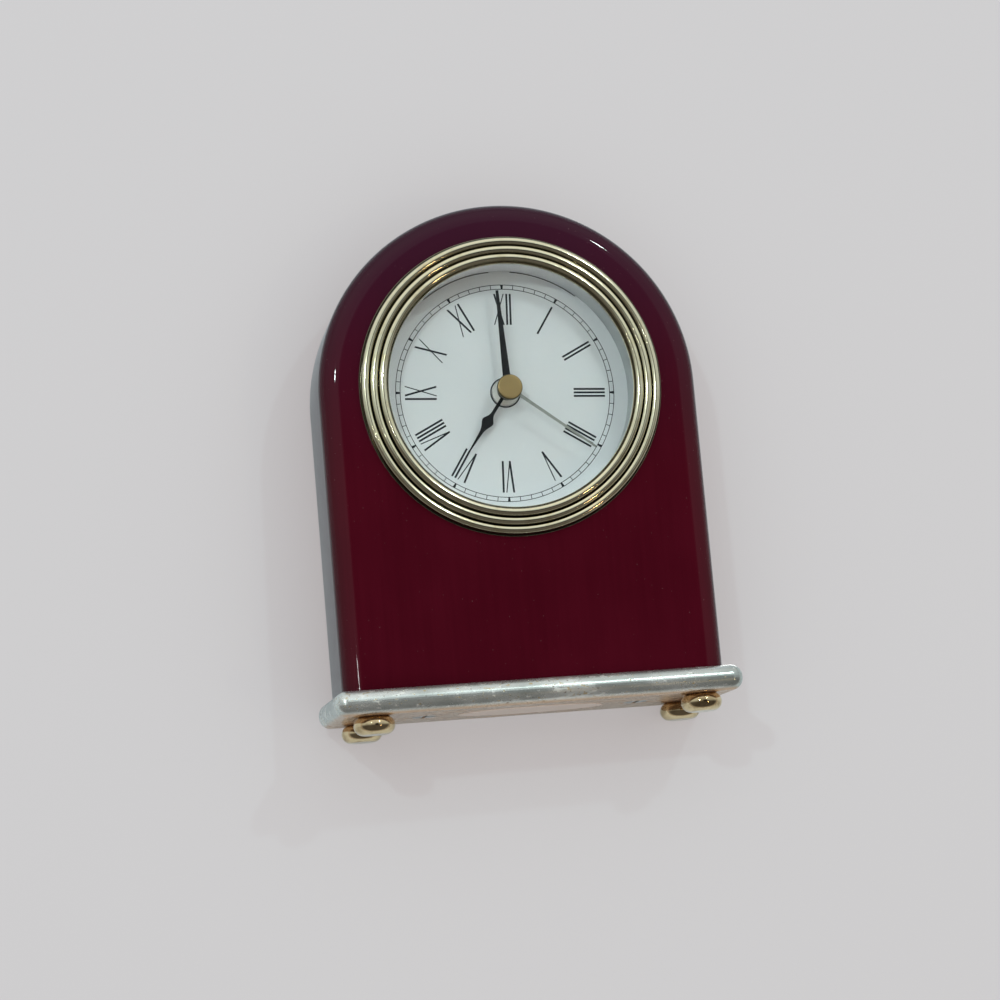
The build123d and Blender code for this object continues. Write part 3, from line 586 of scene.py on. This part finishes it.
# %% Sweep it round the arch
arch_steps = 128
rise = Vector((0, 0, arch_middle - case_low.z)) / 1000
upper = bmesh.ops.extrude_edge_only(skin, edges=skin.edges[:])["geom"]
bmesh.ops.translate(skin, verts=only_verts(upper), vec=rise)
swept = bmesh.ops.spin(
    skin,
    geom=[part for part in upper if not isinstance(part, bmesh.types.BMFace)],
    cent=Vector((case_low.x + half_width, 0, arch_middle)) / 1000,
    axis=(0, 1, 0),
    angle=pi,
    steps=arch_steps,
)
ending = [part for part in swept["geom_last"] if isinstance(part, bmesh.types.BMEdge)]
lower = bmesh.ops.extrude_edge_only(skin, edges=ending)["geom"]
bmesh.ops.translate(skin, verts=only_verts(lower), vec=-rise)
print("swept skin:", len(skin.faces), "faces")

# %% [markdown]
# The bore for the insert goes right through, with a small chamfer at the back. A boolean cut would
# do it too, but spinning the bore's section keeps its edge even, and the flat faces are then filled
# in between the bore and the roundings.

# %% Bore it and close its faces
bore_radius = 35.0
bore_chamfer = 0.6
bore_steps = 160
near = 0.01


def on_bore(radius, depth):
    """A point above the bore's axis."""
    return Vector((bezel_middle.x, depth, bezel_middle.z + radius)) / 1000


bore_section = (
    (bore_radius, case_low.y),
    (bore_radius, case_high.y - bore_chamfer),
    (bore_radius + bore_chamfer, case_high.y),
)
rims = [skin.verts.new(on_bore(*spot)) for spot in bore_section]
walls = [skin.edges.new(pair) for pair in zip(rims, rims[1:])]
bmesh.ops.spin(
    skin,
    geom=rims + walls,
    cent=on_bore(0, 0),
    axis=(0, 1, 0),
    angle=2 * pi,
    steps=bore_steps,
    use_merge=True,
)
bmesh.ops.remove_doubles(skin, verts=skin.verts, dist=weld)


def at_depth(edge, depth):
    """Whether an open edge lies on the plane at this depth, and not along the bottom."""
    on_plane = all(abs(1000 * end.co.y - depth) < near for end in edge.verts)
    off_bottom = any(1000 * end.co.z > case_low.z + near for end in edge.verts)
    return edge.is_boundary and on_plane and off_bottom


for depth, way in ((case_low.y, -1), (case_high.y, 1)):
    rim = [edge for edge in skin.edges if at_depth(edge, depth)]
    ends = [end for edge in rim for end in edge.verts]
    at_bottom = {end for end in ends if abs(1000 * end.co.z - case_low.z) < near}
    inner = sorted(at_bottom, key=lambda end: abs(end.co.x))[:2]
    rim.append(skin.edges.new(inner))
    bmesh.ops.triangle_fill(skin, use_beauty=True, edges=rim, normal=(0, way, 0))
bmesh.ops.holes_fill(skin, edges=[edge for edge in skin.edges if edge.is_boundary], sides=0)
settle(skin, "case_skin", "lacquered_wood", "case", "case_block")

# %% [markdown]
# ## The ribbed bezel
# The bezel is a brass ring with three half-round ribs, turned on a lathe. The solid has the same
# shape, but the flat facets of its mesh would show in polished gold. So its section is drawn once
# more, each rib by spinning a point, and the section is spun finely round the dial's axis.

# %% Draw the bezel's section
rib_count = 3
rib_rise = 0.95
rib_step = 0.35
rib_steps = 16
valley_front = -1.3
lens_opening = 32.1
lip_front = -2.0
lip_back = -1.2
cup_radius = 33.4
flange_radius = 39.6
flange_front = -0.5


def on_section(radius, depth):
    """A point, in millimetres from the dial's axis and behind the case's front."""
    return Vector((bezel_middle.x, case_low.y + depth, bezel_middle.z + radius)) / 1000


section = bmesh.new()
first = last = section.verts.new(on_section(outer_valley, valley_front))
for _ in range(rib_count):
    chord = on_section(0, 0) - on_section(rib_pitch, rib_step)
    half = 500 * chord.length
    radius = (half * half + rib_rise * rib_rise) / (2 * rib_rise)
    away = chord.normalized().cross(Vector((1, 0, 0))) * (rib_rise - radius) / 1000
    made = bmesh.ops.spin(
        section,
        geom=[last],
        cent=last.co + chord / 2 + away,
        axis=(1, 0, 0),
        angle=2 * asin(half / radius),
        steps=rib_steps,
    )
    last = only_verts(made["geom_last"])[0]
corners = (
    (lens_opening, lip_front),
    (lens_opening, lip_back),
    (cup_radius, lip_back),
    (cup_radius, 0),
    (flange_radius, 0),
    (flange_radius, flange_front),
    (outer_valley, flange_front),
)
for corner in corners:
    following = section.verts.new(on_section(*corner))
    section.edges.new((last, following))
    last = following
section.edges.new((last, first))
print("bezel section:", len(section.verts), "points")

# %% Spin the bezel
bezel_steps = 240
bmesh.ops.spin(
    section,
    geom=section.verts[:] + section.edges[:],
    cent=on_section(0, 0),
    axis=(0, 1, 0),
    angle=2 * pi,
    steps=bezel_steps,
    use_merge=True,
)
settle(section, "ribbed_bezel", "bezel_gold", "insert", "bezel")

# %% [markdown]
# ## The dial's print
# Numbers could be painted by the dial's material, but a shader draws letters badly. Here each
# stroke is a thin slip of ink that stands a hair above the enamel: four corners make a face, and
# one extrusion gives all the faces their thickness. A number is written upright round zero first
# and then turned to its hour, so its feet point to the middle of the dial.

# %% Strokes of a number
ink_front = dial_front - 0.02
ink_thick = 0.02
insert_turn = radians(3.0)
letter_foot = 18.2
letter_top = 26.55
thick_stroke = 0.52
thin_stroke = 0.28
letter_widths = {"I": 0.52, "V": 2.35, "X": 2.85}
letter_gap = 0.41


def on_dial(across, up, hour_turn=0.0):
    """Puts a point of the dial, in millimetres from its middle, into the frame."""
    turn = insert_turn + hour_turn
    side = across * cos(turn) + up * sin(turn)
    rise = up * cos(turn) - across * sin(turn)
    return Vector((dial_middle.x + side / 1000, ink_front / 1000, dial_middle.z + rise / 1000))


def stroke(ink, foot, top, width, hour_turn, low=letter_foot, high=letter_top, top_width=None):
    """Draws one straight stroke, from its place at the foot of a letter to its place at the top."""
    top_width = width if top_width is None else top_width
    corners = [
        (foot - width / 2, low),
        (foot + width / 2, low),
        (top + top_width / 2, high),
        (top - top_width / 2, high),
    ]
    ink.faces.new([ink.verts.new(on_dial(across, up, hour_turn)) for across, up in corners])


def write_number(ink, letters, hour_turn):
    """Writes a Roman number across an hour's line, with thick left strokes and thin right ones."""
    width = sum(letter_widths[letter] for letter in letters) + letter_gap * (len(letters) - 1)
    left = -width / 2
    for letter in letters:
        right = left + letter_widths[letter]
        middle = (left + right) / 2
        inside_left = left + thick_stroke / 2
        inside_right = right - thin_stroke / 2
        if letter == "I":
            stroke(ink, middle, middle, thick_stroke, hour_turn)
        elif letter == "V":
            stroke(ink, middle, inside_left, thick_stroke, hour_turn)
            stroke(ink, middle, inside_right, thin_stroke, hour_turn)
        else:
            stroke(ink, right - thick_stroke / 2, inside_left, thick_stroke, hour_turn)
            stroke(ink, left + thin_stroke / 2, inside_right, thin_stroke, hour_turn)
        left = right + letter_gap


def finish_ink(ink, name):
    """Gives the ink its thickness and makes it a piece that rides on the insert."""
    bmesh.ops.recalc_face_normals(ink, faces=ink.faces)
    raised = bmesh.ops.extrude_face_region(ink, geom=ink.faces[:])
    bmesh.ops.translate(ink, verts=only_verts(raised["geom"]), vec=(0, ink_thick / 1000, 0))
    bmesh.ops.recalc_face_normals(ink, faces=ink.faces)
    piece = new_piece(ink, name, finishes["dial_ink"])
    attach(piece, "insert")


# %% Write the twelve numbers
numbers = ["XII", "I", "II", "III", "IIII", "V", "VI", "VII", "VIII", "IX", "X", "XI"]
ink = bmesh.new()
for hour, letters in enumerate(numbers):
    write_number(ink, letters, 2 * pi * hour / 12)
finish_ink(ink, "dial_numbers")

# %% [markdown]
# The minute track is two hair-thin circles with a tick for every minute and a wedge for every
# hour. A circle could be built point by point, but spinning one short line round the dial's axis
# does it in one step. The same arcs draw the dark line round the middle, and a painted shadow at
# the top, along the joint between the dial and its ring.

# %% Minute track
track_inner = 27.8
track_outer = 28.95
hairline = 0.18
wedge_foot = 0.4
wedge_top = 0.75
wedge_inset = 0.1
collar_radius = 3.86
collar_line = 0.36
# Painted shadow along the top of the dial's edge, where it meets its ring.
painted_shadow_radius = 32.5
painted_shadow_line = 0.24
painted_shadow_arcs = ((-40, -6), (4, 37))


def arc(ink, radius, width, start, end):
    """Spins a short line round the dial into a flat arc, or a whole ring."""
    ends = [ink.verts.new(on_dial(0, radius + side * width / 2, start)) for side in (-1, 1)]
    line = ink.edges.new(ends)
    whole = end - start >= 2 * pi
    bmesh.ops.spin(
        ink,
        geom=[*ends, line],
        cent=on_dial(0, 0),
        axis=(0, 1, 0),
        angle=end - start,
        steps=180 if whole else 40,
        use_merge=whole,
    )


ink = bmesh.new()
arc(ink, track_inner, hairline, 0, 2 * pi)
arc(ink, track_outer, hairline, 0, 2 * pi)
arc(ink, collar_radius, collar_line, 0, 2 * pi)
for minute in range(60):
    turn = 2 * pi * minute / 60
    stroke(ink, 0, 0, hairline, turn, track_inner, track_outer)
    if minute % 5 == 0:
        stroke(ink, 0, 0, wedge_foot, turn, track_inner - wedge_inset, track_outer, wedge_top)
# Painted shadow arcs at the top of the dial's edge.
for start, end in painted_shadow_arcs:
    arc(ink, painted_shadow_radius, painted_shadow_line, radians(start), radians(end))
bmesh.ops.remove_doubles(ink, verts=ink.verts, dist=weld)
finish_ink(ink, "dial_track")

# %% [markdown]
# ## Table, floor and background
# In the picture the clock lies on its back, so the pale table is a sheet right behind it. Both the
# table and the floor under the feet are shown only from their front side, and only to rays that
# look at them, so the clock can be seen and lit from every side. A little glow of their own stands
# in for the light that a bright room throws back into the shadows.


# %% Stage
glow = 0.45
pale = colour(203, 214, 218)


def stage_sheet(name, corners, in_gloss):
    """A pale sheet that is seen from its front and lets every other ray pass."""
    material = bpy.data.materials.new(name)
    material.use_nodes = True
    tree = material.node_tree
    tree.nodes.clear()
    wire = Wire(tree)
    camera_ray = wire.node("LightPath", output="Is Camera Ray")
    gloss_ray = wire.node("LightPath", output="Is Glossy Ray")
    back = wire.node("NewGeometry", output="Backfacing")
    matt = wire.node("BsdfDiffuse", inputs={"Color": pale})
    filled = wire.node("Emission", inputs={"Color": colour(208, 194, 192)})
    matt = wire.node("MixShader", inputs={0: camera_ray * glow, 1: matt, 2: filled})
    clear = wire.node("BsdfTransparent")
    seen = (camera_ray + gloss_ray * in_gloss) * (1 - back)
    shown = wire.node("MixShader", inputs={0: seen, 1: clear, 2: matt})
    end = tree.nodes.new("ShaderNodeOutputMaterial")
    tree.links.new(shown.socket, end.inputs["Surface"])
    sheet = bmesh.new()
    sheet.faces.new([sheet.verts.new(corner) for corner in corners])
    piece = new_piece(sheet, name, material)


table_at_foot = 0.0222
table_lean = -0.047
lean_from = 0.008
reach = 1.6
square = [(a * reach, b * reach) for a, b in ((-1, -1), (1, -1), (1, 1), (-1, 1))]
table_corners = [(x, table_at_foot + table_lean * (z - lean_from), z) for x, z in square]
stage_sheet("table", table_corners, 1.0)
stage_sheet("floor", [(x, y, 0) for x, y in square], 0.0)

# %% [markdown]
# ## Light
# The room has a few small lamps and a pale ceiling. Two lamps, at the upper right and at the left,
# give the two faint shadows. A weak one lower on the left makes the glint on the case's rounding,
# and a warm one low on the right makes the golden glints on the bezel. The last one lights the back
# for other views, and the world fills the rest. For mirror-like surfaces the world is a pale
# ceiling that gets dim lower down, with one dark place where the person with the camera stands, so
# that the lacquer stays deep and the gold bright.


# %% Lamps
lamp_target = Vector((0, 0, 0.07))
lamp_distance = 1.3
cool = (0.86, 1.0, 1.0)


def lamp(name, direction, size, power, tint):
    """A soft square lamp that looks at the clock."""
    data = bpy.data.lights.new(name, "AREA")
    data.size = size
    data.energy = power
    data.color = tint
    piece = bpy.data.objects.new(name, data)
    piece.visible_transmission = False
    bpy.context.scene.collection.objects.link(piece)
    aim = Vector(direction).normalized()
    turn = aim.to_track_quat("Z", "Y").to_matrix().to_4x4()
    piece.matrix_world = Matrix.Translation(lamp_target + aim * lamp_distance) @ turn


lamp("lamp_upper_right", (0.35, -0.82, 0.45), 0.035, 1.5, cool)
lamp("lamp_left", (-0.355, -0.895, 0.266), 0.04, 1.8, cool)
lamp("lamp_low_left", (-0.296, -0.952, 0.055), 0.025, 0.25, (0.95, 1.0, 1.0))
lamp("lamp_warm", (0.456, -0.843, -0.28), 0.05, 0.35, (1.0, 0.72, 0.4))
lamp("lamp_back", (0.35, 0.85, 0.4), 0.3, 8.0, (1, 1, 1))

# %% World
dim_room = (0.09, 0.085, 0.08, 1)
pale_wall = (0.58, 0.64, 0.66, 1)
bright_ceiling = (0.85, 0.88, 0.88, 1)
dark_clothes = (0.02, 0.018, 0.018, 1)
wall_behind = (0.5, 0.5, 0.49, 1)
soft_behind = (0.25, 0.235, 0.233, 1)
soft_in_front = (1.27, 1.215, 1.21, 1)
world = bpy.data.worlds.new("room")
bpy.context.scene.world = world
world.use_nodes = True
tree = world.node_tree
tree.nodes.clear()
wire = Wire(tree)
facing = wire.node("TexCoord", output="Generated")
_, y, z = facing.axes()
person = Vector((0.14, -0.985, 0.05)).normalized()
dot_product = {"operation": "DOT_PRODUCT"}
to_person = wire.node("VectorMath", dot_product, {0: facing, 1: person}, output="Value")
mirrored = z.between(-0.2, 0.3).mix(dim_room, pale_wall)
mirrored = z.between(0.35, 0.8).mix(mirrored, bright_ceiling)
mirrored = to_person.between(0.993, 0.962).mix(dark_clothes, mirrored)
mirrored = y.between(-0.3, 0.0).mix(mirrored, wall_behind)
soft_light = y.between(-0.2, -1.0).mix(soft_behind, soft_in_front)
gloss_ray = wire.node("LightPath", output="Is Glossy Ray")
camera_ray = wire.node("LightPath", output="Is Camera Ray")
shade = gloss_ray.mix(soft_light, mirrored)
shade = camera_ray.mix(shade, colour(206, 206, 209))
sky = wire.node("Background", inputs={"Color": shade, "Strength": 1.0})
end = tree.nodes.new("ShaderNodeOutputWorld")
tree.links.new(sky.socket, end.inputs["Surface"])
print("world nodes:", len(tree.nodes))

# %% [markdown]
# ## The camera
# The picture was taken from the lower left of the dial. The camera stands where a fit of the
# clock's outlines puts it, with the same angle of view.

# %% Camera
view = bpy.data.cameras.new("camera")
view.sensor_width = 36.0
view.lens = 103.76
view.clip_start = 0.01
camera = bpy.data.objects.new("camera", view)
bpy.context.scene.collection.objects.link(camera)
right = Vector((0.98377, -0.15683, -0.08716))
down = Vector((-0.06061, 0.16676, -0.98413))
ahead = Vector((0.16887, 0.97345, 0.15455))
facing = Matrix((right, -down, -ahead)).transposed().to_4x4()
camera.matrix_world = Matrix.Translation((-0.13057, -0.73485, -0.05671)) @ facing
bpy.context.scene.camera = camera
bpy.context.scene.view_settings.view_transform = "Standard"
print("camera at", in_mm(camera.matrix_world.translation), "mm, lens", round(view.lens, 1), "mm")
